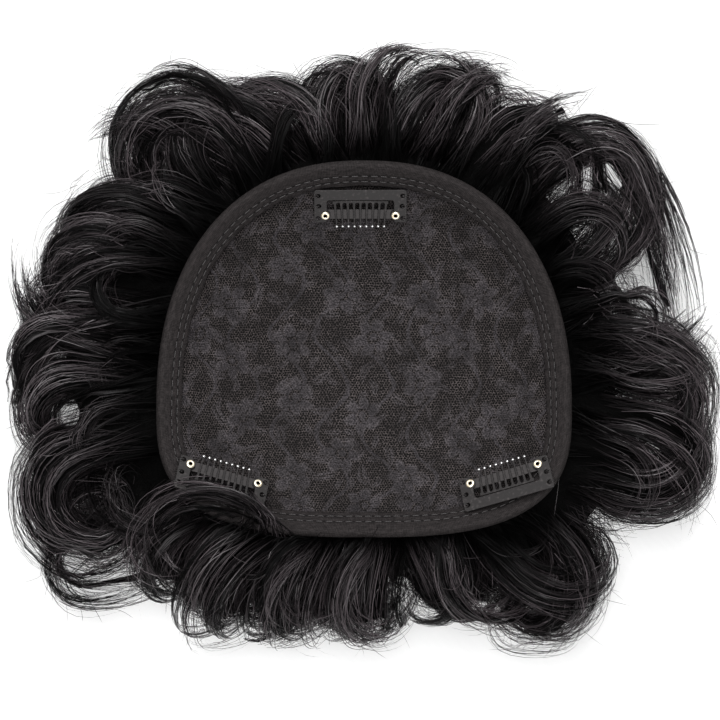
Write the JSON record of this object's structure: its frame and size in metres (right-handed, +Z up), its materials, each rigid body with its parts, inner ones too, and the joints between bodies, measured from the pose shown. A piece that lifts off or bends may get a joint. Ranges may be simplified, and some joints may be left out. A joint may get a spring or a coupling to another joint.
{
  "type": "hair topper",
  "caption": "Curly hair topper on a shallow lace cap with a bound edge and snap clips, lying inside up on its own hair.",
  "frame": {"origin": "on the surface that the hair lies on, under the middle of the cap", "axes": "+Z up, out of the open side of the cap; +Y towards the round back edge with one clip, -Y towards the straighter front edge with two; +X to the right seen from above"},
  "size_m": [0.2483, 0.2077, 0.0491],
  "materials": {
    "lace": "floral lace over hexagon net, matte with a faint sheen",
    "ribbon": "fine ribbed ribbon with two rows of stitches",
    "hair": "natural black hair, soft gloss",
    "clip_enamel": "satin black enamel",
    "rivet_brass": "polished"
  },
  "bodies": {
    "root": {"lace_cap": "lace", "edge_binding": "ribbon", "hair": "hair", "clip_back_plate": "clip_enamel", "clip_back_strip": "clip_enamel", "clip_back_rivet_left": "rivet_brass", "clip_back_rivet_right": "rivet_brass", "clip_left_plate": "clip_enamel", "clip_left_strip": "clip_enamel", "clip_left_rivet_left": "rivet_brass", "clip_left_rivet_right": "rivet_brass", "clip_right_plate": "clip_enamel", "clip_right_strip": "clip_enamel", "clip_right_rivet_left": "rivet_brass", "clip_right_rivet_right": "rivet_brass"},
    "clip_back_comb": {"clip_back_teeth": "clip_enamel"},
    "clip_left_comb": {"clip_left_teeth": "clip_enamel"},
    "clip_right_comb": {"clip_right_teeth": "clip_enamel"}
  },
  "joints": [
    {"name": "clip_back_snap", "type": "hinge", "parent": "root", "child": "clip_back_comb", "pos_m": [-0.00125, 0.05058, 0.03831], "axis": [-1, -0.0024, 0.004], "range_deg": [0, 50]},
    {"name": "clip_left_snap", "type": "hinge", "parent": "root", "child": "clip_left_comb", "pos_m": [-0.04897, -0.0473, 0.04399], "axis": [0.943, -0.2849, -0.1718], "range_deg": [0, 50]},
    {"name": "clip_right_snap", "type": "hinge", "parent": "root", "child": "clip_right_comb", "pos_m": [0.04897, -0.0473, 0.04399], "axis": [0.943, 0.2849, 0.1718], "range_deg": [0, 50]}
  ]
}
